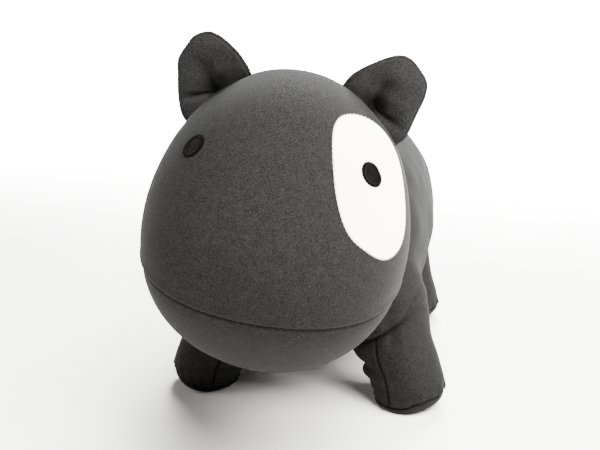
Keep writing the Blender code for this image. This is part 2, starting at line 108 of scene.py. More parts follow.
def make_camera():
    """Looks at the dog from a little above and from its left."""
    data = bpy.data.cameras.new("camera")
    data.lens = CAMERA_LENS
    data.sensor_width = 36.0
    data.clip_start = 0.01
    back = away_from_front(CAMERA_BEARING, CAMERA_HEIGHT)
    camera = place_facing("camera", data, CAMERA_TARGET, back, CAMERA_DISTANCE)
    bpy.context.scene.camera = camera


def add_softbox(name, bearing, height, power):
    """A square softbox that faces the dog from a bearing and a height in degrees."""
    data = bpy.data.lights.new(name, "AREA")
    data.shape = "SQUARE"
    data.size = SOFTBOX_SIZE
    data.energy = power
    back = away_from_front(bearing, height)
    place_facing(name, data, SOFTBOX_TARGET, back, SOFTBOX_DISTANCE)


def add_ramp(tree, source, low, high, gain):
    """A smooth ramp from 0 at low to gain at high."""
    ramp = tree.nodes.new("ShaderNodeMapRange")
    ramp.interpolation_type = "SMOOTHSTEP"
    ramp.inputs["From Min"].default_value = low
    ramp.inputs["From Max"].default_value = high
    ramp.inputs["To Max"].default_value = gain
    tree.links.new(source, ramp.inputs["Value"])
    return ramp.outputs["Result"]


def add_sum(tree, terms, base):
    """The sum of sockets and a number."""
    total = None
    for term in terms:
        plus = tree.nodes.new("ShaderNodeMath")
        plus.operation = "ADD"
        tree.links.new(term, plus.inputs[0])
        if total is None:
            plus.inputs[1].default_value = base
        else:
            tree.links.new(total, plus.inputs[1])
        total = plus.outputs[0]
    return total


def make_world():
    """A white backdrop that itself gives little light, so that the shadows stay deep."""
    world = bpy.data.worlds.new("studio")
    bpy.context.scene.world = world
    world.use_nodes = True
    tree = world.node_tree
    background = tree.nodes["Background"]
    background.inputs["Color"].default_value = (1.0, 0.98, 0.95, 1.0)
    ray = tree.nodes.new("ShaderNodeLightPath")
    strength = tree.nodes.new("ShaderNodeMapRange")
    strength.inputs["To Min"].default_value = WORLD_STRENGTH
    strength.inputs["To Max"].default_value = BACKDROP_STRENGTH
    tree.links.new(ray.outputs["Is Camera Ray"], strength.inputs["Value"])
    tree.links.new(strength.outputs["Result"], background.inputs["Strength"])


def make_floor():
    """A pale sheet with a faint gloss and painted light: it glows towards the back, the dog's left
    and its far parts, like a studio sweep, and the glow lights the dog too.
    """
    bpy.ops.mesh.primitive_plane_add(size=FLOOR_SIZE)
    floor = bpy.context.object
    floor.name = "floor"
    material = bpy.data.materials.new("pale_floor")
    material.use_nodes = True
    tree = material.node_tree
    shader = tree.nodes["Principled BSDF"]
    shader.inputs["Base Color"].default_value = FLOOR_COLOUR
    shader.inputs["Roughness"].default_value = 0.45
    shader.inputs["Specular IOR Level"].default_value = 0.15
    shader.inputs["Emission Color"].default_value = (1.0, 1.0, 1.0, 1.0)
    place = tree.nodes.new("ShaderNodeTexCoord")
    parts = tree.nodes.new("ShaderNodeSeparateXYZ")
    tree.links.new(place.outputs["Object"], parts.inputs[0])
    reach = tree.nodes.new("ShaderNodeVectorMath")
    reach.operation = "LENGTH"
    tree.links.new(place.outputs["Object"], reach.inputs[0])
    # Painted light: emission ramps that make the floor glow behind, beside and far from the dog.
    terms = [
        add_ramp(tree, parts.outputs["Y"], 0.16, 0.85, FLOOR_BACK_GLOW),
        add_ramp(tree, parts.outputs["X"], 0.16, 0.5, FLOOR_SIDE_GLOW),
        add_ramp(tree, reach.outputs["Value"], 0.45, 1.6, FLOOR_FAR_GLOW),
    ]
    tree.links.new(add_sum(tree, terms, 0.0), shader.inputs["Emission Strength"])
    floor.data.materials.append(material)


def make_studio():
    """The room's light, softboxes in front, beside, behind and above, and the floor."""
    make_world()
    for name, placing in SOFTBOXES.items():
        add_softbox(name, *placing)
    make_floor()


# ---------------------------------------------------------------- materials

# Each pair is the darkest and the lightest colour of a finish's fine grain.
KNIT_COLOURS = ((0.0030, 0.0029, 0.0028, 1.0), (0.0125, 0.0121, 0.0117, 1.0))
THREAD_COLOURS = ((0.0012, 0.0009, 0.0009, 1.0), (0.0036, 0.0027, 0.0026, 1.0))
FELT_COLOURS = ((0.93, 0.85, 0.76, 1.0), (0.99, 0.92, 0.84, 1.0))
# Painted shade: the grey that the knit's colour is multiplied towards in seams and creases.
PAINTED_SEAM_SHADE = (0.12, 0.12, 0.12, 1.0)
KNIT_GRAIN = 1650.0
KNIT_PATCHES = 260.0
GRAIN_SHARE = 0.86
THREAD_STRANDS = 2600.0
FELT_FIBRES = 1400.0


def new_material(name):
    """A node material and its Principled shader."""
    material = bpy.data.materials.new(name)
    material.use_nodes = True
    return material, material.node_tree.nodes["Principled BSDF"]


def add_node(material, kind, **values):
    """A node with its named inputs or properties set."""
    node = material.node_tree.nodes.new(kind)
    for key, value in values.items():
        if hasattr(node, key):
            setattr(node, key, value)
        else:
            node.inputs[key.replace("_", " ")].default_value = value
    return node


def link(material, source, target):
    """Links one socket to another."""
    material.node_tree.links.new(source, target)


def add_colours(material, source, dark, light):
    """A colour ramp on a source: dark and light are each a position and a colour."""
    ramp = add_node(material, "ShaderNodeValToRGB")
    for element, (position, colour) in zip(ramp.color_ramp.elements, (dark, light)):
        element.position = position
        element.color = colour
    link(material, source, ramp.inputs["Fac"])
    return ramp.outputs["Color"]


def add_bump(material, source, shader, strength, distance):
    """A bump from a source into the shader's normal."""
    bump = add_node(material, "ShaderNodeBump", Strength=strength, Distance=distance)
    link(material, source, bump.inputs["Height"])
    link(material, bump.outputs["Normal"], shader.inputs["Normal"])


def knit_material():
    """Brushed stretch knit: a fine mottled grain of short fibres, a soft sheen and painted seam
    shade.
    """
    material, shader = new_material("charcoal_knit_finish")
    dark, light = KNIT_COLOURS
    shader.inputs["Roughness"].default_value = 0.9
    shader.inputs["Specular IOR Level"].default_value = 0.05
    shader.inputs["Sheen Weight"].default_value = 0.01
    shader.inputs["Sheen Roughness"].default_value = 0.45
    shader.inputs["Sheen Tint"].default_value = (0.95, 0.97, 1.0, 1.0)
    place = add_node(material, "ShaderNodeTexCoord")
    noise = "ShaderNodeTexNoise"
    grain = add_node(material, noise, Scale=KNIT_GRAIN, Detail=1.5, Roughness=0.6)
    patches = add_node(material, noise, Scale=KNIT_PATCHES, Detail=3.0, Roughness=0.6)
    link(material, place.outputs["Object"], grain.inputs["Vector"])
    link(material, place.outputs["Object"], patches.inputs["Vector"])
    mix = add_node(material, "ShaderNodeMath", operation="MULTIPLY_ADD")
    link(material, patches.outputs["Fac"], mix.inputs[0])
    mix.inputs[1].default_value = 1.0 - GRAIN_SHARE
    scale = add_node(material, "ShaderNodeMath", operation="MULTIPLY")
    link(material, grain.outputs["Fac"], scale.inputs[0])
    scale.inputs[1].default_value = GRAIN_SHARE
    link(material, scale.outputs[0], mix.inputs[2])
    colour = add_colours(material, mix.outputs[0], (0.36, dark), (0.66, light))
    # Painted shade: the fold attribute darkens the knit's colour in seams and creases, where shade
    # falls.
    folds = add_node(material, "ShaderNodeAttribute", attribute_name="fold")
    shade = add_node(material, "ShaderNodeMix", data_type="RGBA", blend_type="MULTIPLY")
    link(material, folds.outputs["Fac"], shade.inputs["Factor"])
    link(material, colour, shade.inputs[6])
    shade.inputs[7].default_value = PAINTED_SEAM_SHADE
    link(material, shade.outputs[2], shader.inputs["Base Color"])
    add_bump(material, mix.outputs[0], shader, 0.6, 0.4 * MM)
    return material


def thread_material():
    """Black embroidery thread with the satin gloss of twisted strands."""
    material, shader = new_material("satin_thread")
    shader.inputs["Roughness"].default_value = 0.55
    shader.inputs["Specular IOR Level"].default_value = 0.02
    place = add_node(material, "ShaderNodeTexCoord")
    strands = add_node(material, "ShaderNodeTexNoise", Scale=THREAD_STRANDS, Detail=2.0)
    link(material, place.outputs["Object"], strands.inputs["Vector"])
    dark, light = THREAD_COLOURS
    colour = add_colours(material, strands.outputs["Fac"], (0.35, dark), (0.7, light))
    link(material, colour, shader.inputs["Base Color"])
    add_bump(material, strands.outputs["Fac"], shader, 0.35, 0.2 * MM)
    return material


def felt_material():
    """Cream felt of fine matted fibres."""
    material, shader = new_material("cream_felt_finish")
    shader.inputs["Roughness"].default_value = 0.95
    shader.inputs["Sheen Weight"].default_value = 0.2
    place = add_node(material, "ShaderNodeTexCoord")
    fibres = add_node(material, "ShaderNodeTexNoise", Scale=FELT_FIBRES, Detail=3.0)
    link(material, place.outputs["Object"], fibres.inputs["Vector"])
    dark, light = FELT_COLOURS
    colour = add_colours(material, fibres.outputs["Fac"], (0.3, dark), (0.65, light))
    link(material, colour, shader.inputs["Base Color"])
    add_bump(material, fibres.outputs["Fac"], shader, 0.25, 0.2 * MM)
    return material


# ---------------------------------------------------------------- mesh helpers

WELD = 0.001 * MM


def smooth_step(low, high, value):
    """0 below low, 1 above high, smooth between."""
    t = np.clip((value - low) / (high - low), 0.0, 1.0)
    return t * t * (3.0 - 2.0 * t)


def smooth_max(a, b, fillet):
    """The larger of two fields, rounded where they meet."""
    share = np.clip(0.5 + 0.5 * (a - b) / fillet, 0.0, 1.0)
    return b * (1.0 - share) + a * share + fillet * share * (1.0 - share)


def wrap_angle(angle):
    """An angle brought between minus and plus half a turn."""
    return np.arctan2(np.sin(angle), np.cos(angle))


def bell(value, middle, width):
    """A bump of height 1 round a middle."""
    return np.exp(-(((value - middle) / width) ** 2))


def unit(vectors):
    """Vectors scaled to length 1."""
    return vectors / np.maximum(np.linalg.norm(vectors, axis=-1, keepdims=True), 1e-12)


def lumps(points, size, seed):
    """A smooth uneven field between about -1 and 1, whose bumps are about size metres wide."""
    random = np.random.default_rng(seed)
    total = np.zeros(points.shape[:-1])
    waves = 9
    for _ in range(waves):
        way = unit(random.normal(size=3))
        pitch = 2.0 * math.pi / size * random.uniform(0.55, 1.25)
        total += np.sin(points @ way * pitch + random.uniform(0.0, 2.0 * math.pi))
    return total / math.sqrt(waves)


def new_piece(name, points, faces, material, fold=None):
    """A smooth mesh object from arrays; fold is how deep each point lies in a seam, 0 to 1, which
    the knit turns into painted shade.
    """
    data = bpy.data.meshes.new(name)
    data.from_pydata([tuple(p) for p in points], [], [tuple(int(i) for i in f) for f in faces])
    data.update()
    data.shade_smooth()
    if fold is not None:
        shade = data.attributes.new("fold", "FLOAT", "POINT")
        shade.data.foreach_set("value", np.clip(fold, 0.0, 1.0).astype(np.float32).ravel())
    data.materials.append(material)
    piece = bpy.data.objects.new(name, data)
    bpy.context.scene.collection.objects.link(piece)
    return piece


def turns_round(columns):
    """Evenly spaced angles once round, one for each column of points."""
    return np.arange(columns) * 2.0 * math.pi / columns


def grid_faces(rows, columns, wrap):
    """Quads between rows of points; wrap joins the last column to the first."""
    steps = columns if wrap else columns - 1
    row, column = np.meshgrid(np.arange(rows - 1), np.arange(steps), indexing="ij")
    after = (column + 1) % columns
    low = row * columns
    high = (row + 1) * columns
    quads = np.stack([low + column, low + after, high + after, high + column], axis=-1)
    return quads.reshape(-1, 4)


def weld(piece, distance=WELD):
    """Merges points closer than a distance, as at a pole."""
    mesh = bmesh.new()
    mesh.from_mesh(piece.data)
    bmesh.ops.remove_doubles(mesh, verts=mesh.verts[:], dist=distance)
    mesh.to_mesh(piece.data)
    mesh.free()
    piece.data.shade_smooth()


def dress(piece, finish, *nodes):
    """Hides the CAD nodes that a piece stands for; finish is not used."""
    if nodes:
        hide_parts(*nodes)


# ---------------------------------------------------------------- the head's surface

HEAD_CENTRE = np.array((-0.8, -74.0, 126.0)) * MM
HEAD_HALF = np.array((65.5, 88.2, 78.1)) * MM
HEAD_WIDTH_TAPER = (0.07, 0.29)
HEAD_HEIGHT_TAPER = (0.09, -0.25)
HEAD_AXES = np.array(
    Matrix.Rotation(math.radians(6.5), 3, "Z")
    @ Matrix.Rotation(math.radians(9.7), 3, "X")
    @ Matrix.Rotation(math.radians(8.6), 3, "Y")
)
EGG_RADIUS = 70.0 * MM
NECK = joint_place("head_nod")
NECK_RADIUS = 52.0 * MM
NECK_FILLET = 16.0 * MM
MOUTH_HEIGHT = -11.5 * MM
MOUTH_DROOP = math.radians(5.0)
MOUTH_DROOP_FROM = math.radians(28.0)
MOUTH_DROOP_TO = math.radians(95.0)
HEAD_COLUMNS = 560
UPPER_ROWS = 150
JAW_ROWS = 100
ROW_CROWDING = 1.25
MOUTH_SEAM_DEPTH = 1.6
MOUTH_PUCKERS_ROUND = 170.0
# Where the mouth seam puckers at the cheeks: the middle and the width of each, in radians.
CHEEK_PUCKERS = ((-1.05, 0.22), (1.25, 0.2))
HEAD_LUMP_HEIGHT = 0.35
EAR_BASE_HOLLOW = 1.6
EAR_DIMPLE_HOLLOW = 3.4
HEAD_MIDDLE = HEAD_CENTRE + HEAD_AXES @ np.array((0.0, 20.0 * MM, MOUTH_HEIGHT))


def head_local(points):
    """World points in the head's own axes, from its centre."""
    return (points - HEAD_CENTRE) @ HEAD_AXES


def head_depth(points):
    """About how far a point is outside the head (negative inside): an egg joined to a ball."""
    local = head_local(points)
    forward = -local[..., 1] / HEAD_HALF[1]
    near, far = HEAD_WIDTH_TAPER
    width = HEAD_HALF[0] * (1.0 + near * forward + far * forward**2)
    near, far = HEAD_HEIGHT_TAPER
    height = HEAD_HALF[2] * np.maximum(1.0 + near * forward + far * forward**2, 0.3)
    level = (local[..., 0] / width) ** 2 + forward**2 + (local[..., 2] / height) ** 2
    egg = (np.sqrt(level) - 1.0) * EGG_RADIUS
    ball = np.linalg.norm(points - NECK, axis=-1) - NECK_RADIUS
    return -smooth_max(-ball, -egg, NECK_FILLET)


def head_reach(directions):
    """Distance from the head's middle to its surface along each direction."""
    low = np.full(directions.shape[:-1], 5.0 * MM)
    high = np.full(directions.shape[:-1], 200.0 * MM)
    for _ in range(26):
        middle = (low + high) / 2.0
        inside = head_depth(HEAD_MIDDLE + directions * middle[..., None]) < 0.0
        low = np.where(inside, middle, low)
        high = np.where(inside, high, middle)
    return low


def head_direction(turn, lift):
    """Unit directions from the head's middle; turn 0 is forward and lift 0 the mouth's level."""
    level = np.cos(lift)
    local = np.stack([level * np.sin(turn), -level * np.cos(turn), np.sin(lift)], axis=-1)
    return local @ HEAD_AXES.T


def head_surface(directions):
    """Points on the smooth head along directions from its middle."""
    return HEAD_MIDDLE + directions * head_reach(directions)[..., None]


def head_normal(points):
    """Outward unit normals of the smooth head."""
    step = 0.05 * MM
    slopes = []
    for axis in range(3):
        shift = np.zeros(3)
        shift[axis] = step
        slopes.append(head_depth(points + shift) - head_depth(points - shift))
    return unit(np.stack(slopes, axis=-1))


def mouth_lift(turn):
    """The mouth seam's lift; it droops towards the cheeks."""
    wrapped = np.abs(wrap_angle(turn))
    return -MOUTH_DROOP * smooth_step(MOUTH_DROOP_FROM, MOUTH_DROOP_TO, wrapped)


def head_panel(name, side, material):
    """The panel above (side 1) or below (side -1) the mouth seam."""
    rows = UPPER_ROWS if side > 0 else JAW_ROWS
    turn = turns_round(HEAD_COLUMNS)
    seam = mouth_lift(turn)
    share = (np.arange(rows + 1) / rows) ** ROW_CROWDING
    lift = seam + share[:, None] * (side * math.pi / 2.0 - seam)
    turns = np.broadcast_to(turn, lift.shape)
    base = head_surface(head_direction(turns, lift))
    normal = head_normal(base)
    away = (lift - seam) * side * np.linalg.norm(base - HEAD_MIDDLE, axis=-1)
    puckers = np.cos(turns * MOUTH_PUCKERS_ROUND)
    if side > 0:
        groove = bell(away, 0.0, 0.6 * MM)
        roll = 0.5 * bell(away, 2.6 * MM, 2.2 * MM)
    else:
        groove = bell(away, 0.0, 0.8 * MM)
        roll = -0.35 * bell(away, 2.0 * MM, 3.5 * MM)
    offset = roll - MOUTH_SEAM_DEPTH * groove
    offset = offset + 0.14 * puckers * bell(away, 1.2 * MM, 1.0 * MM)
    cheek = sum(bell(turns, middle, width) for middle, width in CHEEK_PUCKERS)
    offset = offset + 0.5 * np.cos(turns * 42.0) * cheek * bell(away, 2.0 * MM, 3.0 * MM)
    offset = offset + head_sag(base)
    # Painted shade along the mouth seam's groove, carried by the fold attribute.
    fold = 0.95 * bell(away, 0.0, 0.55 * MM)
    points = base + normal * (offset * MM)[..., None]
    faces = grid_faces(rows + 1, HEAD_COLUMNS, True)
    if side < 0:
        faces = faces[:, ::-1]
    piece = new_piece(name, points.reshape(-1, 3), faces, material, fold)
    weld(piece, 0.01 * MM)
    return piece


def head_sag(points):
    """The head skin's unevenness, in millimetres, with the hollows that the ears pull into it."""
    sag = HEAD_LUMP_HEIGHT * lumps(points, 55.0 * MM, 3)
    for ear in EARS.values():
        base = np.array(ear["base"]) * MM
        pinch = np.array(ear["dimple"]) * MM
        chord = base[1] - base[0]
        share = np.clip((points - base[0]) @ chord / (chord @ chord), 0.0, 1.0)
        gap = np.linalg.norm(points - base[0] - share[..., None] * chord, axis=-1)
        sag = sag - EAR_BASE_HOLLOW * bell(gap, 0.0, 5.0 * MM)
        from_pinch = np.linalg.norm(points - pinch, axis=-1)
        sag = sag - EAR_DIMPLE_HOLLOW * bell(from_pinch, 0.0, 8.0 * MM)
    return sag


def make_head(knit):
    """The head's upper and jaw panels."""
    panels = (
        ("head_upper_skin", 1, ("head_upper_panel", "head_stuffing")),
        ("jaw_skin", -1, ("jaw_panel",)),
    )
    for name, side, nodes in panels:
        piece = head_panel(name, side, knit)
        dress(piece, "charcoal_knit", *nodes)
        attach(piece, "head")


# ---------------------------------------------------------------- stitches and embroidery


def stitches(name, places, ways, normals, sizes, material):
    """Short plump stitches: each an ellipsoid along its way, sized length, width and height."""
    rings, sides = 7, 8
    lift = np.linspace(-math.pi / 2.0, math.pi / 2.0, rings)
    turn = turns_round(sides)
    along = np.sign(np.sin(lift)) * np.abs(np.sin(lift)) ** 0.8
    round_x = np.cos(lift)[:, None] * np.cos(turn)
    round_y = np.cos(lift)[:, None] * np.sin(turn)
    across = np.cross(normals, ways)
    length, width, height = sizes
    points = (
        places[:, None, None]
        + ways[:, None, None] * along[None, :, None, None] * length / 2.0
        + across[:, None, None] * round_x[None, ..., None] * width / 2.0
        + normals[:, None, None] * round_y[None, ..., None] * height / 2.0
    )
    faces = grid_faces(rings, sides, True)
    every = (faces[None] + np.arange(len(places))[:, None, None] * rings * sides).reshape(-1, 4)
    piece = new_piece(name, points.reshape(-1, 3), every, material)
    weld(piece)
    return piece


MOUTH_REACH = math.radians(118.0)
MOUTH_PITCH = 2.1 * MM
MOUTH_STITCH = (1.75 * MM, 0.62 * MM, 0.5 * MM)
MOUTH_SINK = 0.95


def make_mouth_stitches(thread):
    """The black running stitch that lies in the mouth seam."""
    turn = np.linspace(-MOUTH_REACH, MOUTH_REACH, 2400)
    line = head_surface(head_direction(turn, mouth_lift(turn)))
    steps = np.linalg.norm(np.diff(line, axis=0), axis=1)
    travel = np.concatenate([[0.0], np.cumsum(steps)])
    count = int(travel[-1] / MOUTH_PITCH)
    spots = (np.arange(count) + 0.5) * travel[-1] / count
    places = np.stack([np.interp(spots, travel, line[:, i]) for i in range(3)], axis=1)
    after = np.stack([np.interp(spots + 0.2 * MM, travel, line[:, i]) for i in range(3)], axis=1)
    normals = head_normal(places)
    ways = unit(after - places)
    ways = unit(ways - normals * (ways * normals).sum(axis=1, keepdims=True))
    places = places + normals * (head_sag(places) - MOUTH_SINK)[:, None] * MM
    piece = stitches("mouth_stitches", places, ways, normals, MOUTH_STITCH, thread)
    dress(piece, "black_thread", "mouth_thread")
    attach(piece, "head")


def head_frame(local_point):
    """A point on the head and its rightward, upward and outward axes."""
    direction = unit(HEAD_CENTRE + HEAD_AXES @ local_point - HEAD_MIDDLE)
    place = head_surface(direction[None])[0]
    outward = head_normal(place[None])[0]
    upward = HEAD_AXES[:, 2] - outward * (HEAD_AXES[:, 2] @ outward)
    upward = upward / np.linalg.norm(upward)
    return place, np.cross(upward, outward), upward, outward


def on_head(centre, axes, right, up, height):
    """Points laid on the head: right and up from a centre along its axes, raised by height."""
    points = centre + right[..., None] * axes[0] + up[..., None] * axes[1]
    for _ in range(7):
        points = points - axes[2] * (head_depth(points) * 0.95)[..., None]
    normal = head_normal(points)
    return points + normal * (height + MM * head_sag(points))[..., None]


EYE_PLACE = (40.4, -44.4, 50.2)
EYE_RADIUS = 6.0 * MM
EYE_ROUNDNESS = 0.97
EYE_COLUMNS = 720
EYE_ROWS = 64
SATIN_STITCHES = 58.0
SATIN_FROM = 0.70
FILLING_PITCH = 0.55


def make_eye(name, local_point, material):
    """An embroidered eye: a raised rim of radial satin stitches round filling stitches."""
    centre, right, up, outward = head_frame(np.array(local_point) * MM)
    turn = turns_round(EYE_COLUMNS)
    share = np.linspace(0.0, 1.0, EYE_ROWS)[:, None]
    edge = 1.0 + 0.035 * np.cos(turn * SATIN_STITCHES) + 0.025 * np.cos(turn * 23.0 + 1.0)
    radius = EYE_RADIUS * share * edge
    across = EYE_ROUNDNESS * radius * np.cos(turn)
    along = radius * np.sin(turn)
    rim_middle = (1.0 + SATIN_FROM) / 2.0
    rim_half = (1.0 - SATIN_FROM) / 2.0
    rim = np.sqrt(np.clip(1.0 - ((share - rim_middle) / rim_half) ** 2, 0.0, 1.0))
    satin = rim * (1.05 + 0.13 * np.cos(turn * SATIN_STITCHES))
    slanted = (across * 0.8 + along * 0.6) / MM
    lengthwise = (across * 0.6 - along * 0.8) / MM
    broken = np.cos(lengthwise * 2.1 + 2.0 * np.floor(slanted / FILLING_PITCH))
    filling = 0.42 + 0.11 * np.cos(slanted * 2.0 * math.pi / FILLING_PITCH) + 0.05 * broken
    filling = filling * (1.0 - 0.3 * smooth_step(SATIN_FROM - 0.1, SATIN_FROM, share))
    height = np.where(share > SATIN_FROM, satin, filling)
    height = np.where(share > 0.995, -0.4, height)
    points = on_head(centre, (right, up, outward), across, along, height * MM)
    faces = grid_faces(EYE_ROWS, EYE_COLUMNS, True)
    piece = new_piece(name, points.reshape(-1, 3), faces, material)
    weld(piece)
    return piece


PATCH_MIDDLE = (40.1, -39.6, 42.7)
PATCH_FACING = (0.702, -0.35, 0.62)
PATCH_COLUMNS = 1320
PATCH_ROWS = 60
PATCH_ROUNDING = 24
EDGE_TOOTH = 8
PATCH_THICKNESS = 0.35 * MM
PATCH_STITCH = (1.5 * MM, 0.42 * MM, 0.34 * MM)
# The patch's outline: right and up from its middle, in millimetres.
PATCH_OUTLINE = (
    (30.5, -0.7), (34.0, 8.6), (31.5, 17.0), (23.4, 25.4), (12.1, 32.2), (2.9, 34.1),
    (-4.0, 32.5), (-11.1, 27.2), (-18.3, 18.1), (-25.0, 7.3), (-28.8, -3.1), (-30.0, -14.2),
    (-26.4, -21.2), (-20.6, -28.6), (-14.3, -32.8), (-5.5, -34.1), (5.7, -31.3),
    (13.4, -24.3), (21.3, -12.0),
)  # fmt: skip


def round_outline(corners, count):
    """A smooth closed line through corners, as count points."""
    corners = np.array(corners)
    total = len(corners)
    spots = np.arange(count) * total / count
    start = np.floor(spots).astype(int)
    t = (spots - start)[:, None]
    before, here, after, beyond = (corners[(start + k) % total] for k in (-1, 0, 1, 2))
    bend = 2.0 * before - 5.0 * here + 4.0 * after - beyond
    twist = 3.0 * (here - after) + beyond - before
    return here + 0.5 * t * ((after - before) + t * (bend + t * twist))


def make_patch(felt):
    """The cream felt patch round the dog's left eye, with its edge oversewn."""
    centre = HEAD_CENTRE + HEAD_AXES @ (np.array(PATCH_MIDDLE) * MM)
    outward = HEAD_AXES @ unit(np.array(PATCH_FACING))
    up = unit(HEAD_AXES[:, 2] - outward * (HEAD_AXES[:, 2] @ outward))
    right = np.cross(up, outward)
    outline = round_outline(PATCH_OUTLINE, PATCH_COLUMNS) * MM
    for _ in range(4):
        before = np.roll(outline, PATCH_ROUNDING, axis=0)
        after = np.roll(outline, -PATCH_ROUNDING, axis=0)
        outline = (before + outline + after) / 3.0
    reach = np.linalg.norm(outline, axis=1)
    number = np.arange(PATCH_COLUMNS)
    teeth = number / EDGE_TOOTH
    jagged = 0.30 * MM * (2.0 * np.abs(teeth % 1.0 - 0.5) - 0.5)
    share = np.linspace(0.0, 1.0, PATCH_ROWS)[:, None] ** 0.6
    scale = share * (1.0 + share**12 * jagged / reach)
    across = outline[:, 0] * scale
    along = outline[:, 1] * scale
    inset = (1.0 - share) * reach / MM
    height = 0.62 * smooth_step(-0.1, 0.5, inset) - 0.35 + 0.16 * bell(inset, 1.0, 0.5)
    height = height + 0.05 * np.cos(teeth * 2.0 * math.pi) * bell(inset, 0.8, 0.6)
    points = on_head(centre, (right, up, outward), across, along, height * MM)
    faces = grid_faces(PATCH_ROWS, PATCH_COLUMNS, True)
    piece = new_piece("eye_patch_felt", points.reshape(-1, 3), faces, felt)
    weld(piece)
    dress(piece, "cream_felt", "eye_patch")
    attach(piece, "head")
    spots = number[EDGE_TOOTH // 2 :: 2 * EDGE_TOOTH]
    away = outline / reach[:, None]
    ends = []
    for depth in (-0.25 * MM, 1.15 * MM):
        line = outline[spots] - away[spots] * depth
        ends.append(on_head(centre, (right, up, outward), line[:, 0], line[:, 1], 0.32 * MM))
    middle = (ends[0] + ends[1]) / 2.0
    ways = unit(ends[1] - ends[0])
    normals = head_normal(middle)
    normals = unit(normals - ways * (ways * normals).sum(axis=1, keepdims=True))
    sewing = stitches("eye_patch_stitches", middle, ways, normals, PATCH_STITCH, felt)
    dress(sewing, "cream_felt")
    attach(sewing, "head")


def make_eyes(thread):
    """Both embroidered eyes."""
    across, along, up = EYE_PLACE
    for side, sign in (("left", 1.0), ("right", -1.0)):
        eye = make_eye(side + "_eye_embroidery", (sign * across, along, up), thread)
        if side == "left":
            lift_off(eye, PATCH_THICKNESS)
        dress(eye, "black_thread", side + "_eye")
        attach(eye, "head")


def lift_off(piece, distance):
    """Moves a piece out from the head, so that it lies on a layer below it."""
    points = np.array([vertex.co[:] for vertex in piece.data.vertices])
    points = points + head_normal(points) * distance
    piece.data.vertices.foreach_set("co", points.ravel())
    piece.data.update()


# ---------------------------------------------------------------- ears

# Each ear's outline from its outer base over the tip to its inner base: along the base, then up.
RIGHT_EAR_OUTLINE = (
    (22.6, -6.5), (24.6, -1.5), (23.9, 4.1), (20.2, 12.5), (16.3, 19.0), (11.8, 25.9),
    (5.4, 29.2), (-1.6, 31.2), (-9.3, 28.9), (-13.9, 22.7), (-16.9, 13.4), (-17.4, 6.4),
    (-16.9, 0.5), (-13.0, -7.0), (4.0, -9.0),
)  # fmt: skip
LEFT_EAR_OUTLINE = (
    (17.5, -6.5), (18.9, 0.5), (18.8, 6.2), (14.3, 16.3), (10.1, 25.3), (5.6, 30.4),
    (-0.7, 32.0), (-9.0, 31.9), (-14.4, 28.9), (-17.9, 23.0), (-20.1, 17.0), (-22.4, 8.8),
    (-22.3, 1.0), (-18.0, -7.0), (-3.0, -9.0),
)  # fmt: skip
EARS = {
    "right": {
        "base": ((-44.0, -91.8, 180.6), (-16.0, -76.7, 201.8)),
        "dimple": (-32.6, -84.8, 191.7),
        "outline": RIGHT_EAR_OUTLINE,
        "pinch": (4.2, 1.6),
        "valley": 1.75,
        "fold": 0.42,
        "up": (-0.535, -0.04, 0.844),
        "facing": (0.088, -0.996, 0.008),
    },
    "left": {
        "base": ((56.9, -60.1, 166.4), (31.0, -65.6, 197.2)),
        "dimple": (43.7, -64.2, 183.9),
        "outline": LEFT_EAR_OUTLINE,
        "pinch": (-3.8, 1.8),
        "valley": 1.94,
        "fold": 0.25,
        "up": (0.746, 0.139, 0.651),
        "facing": (0.189, -0.982, -0.007),
    },
}


EAR_COLUMNS = 480
EAR_ROWS = 90
EAR_PUFF = 5.0
EAR_BACK_PUFF = 5.2
EAR_DIMPLE_DEPTH = 7.5
EAR_VALLEY_DEPTH = 2.3
EAR_SEAM_DEPTH = 0.4
EAR_SEAM_INSET = 1.5


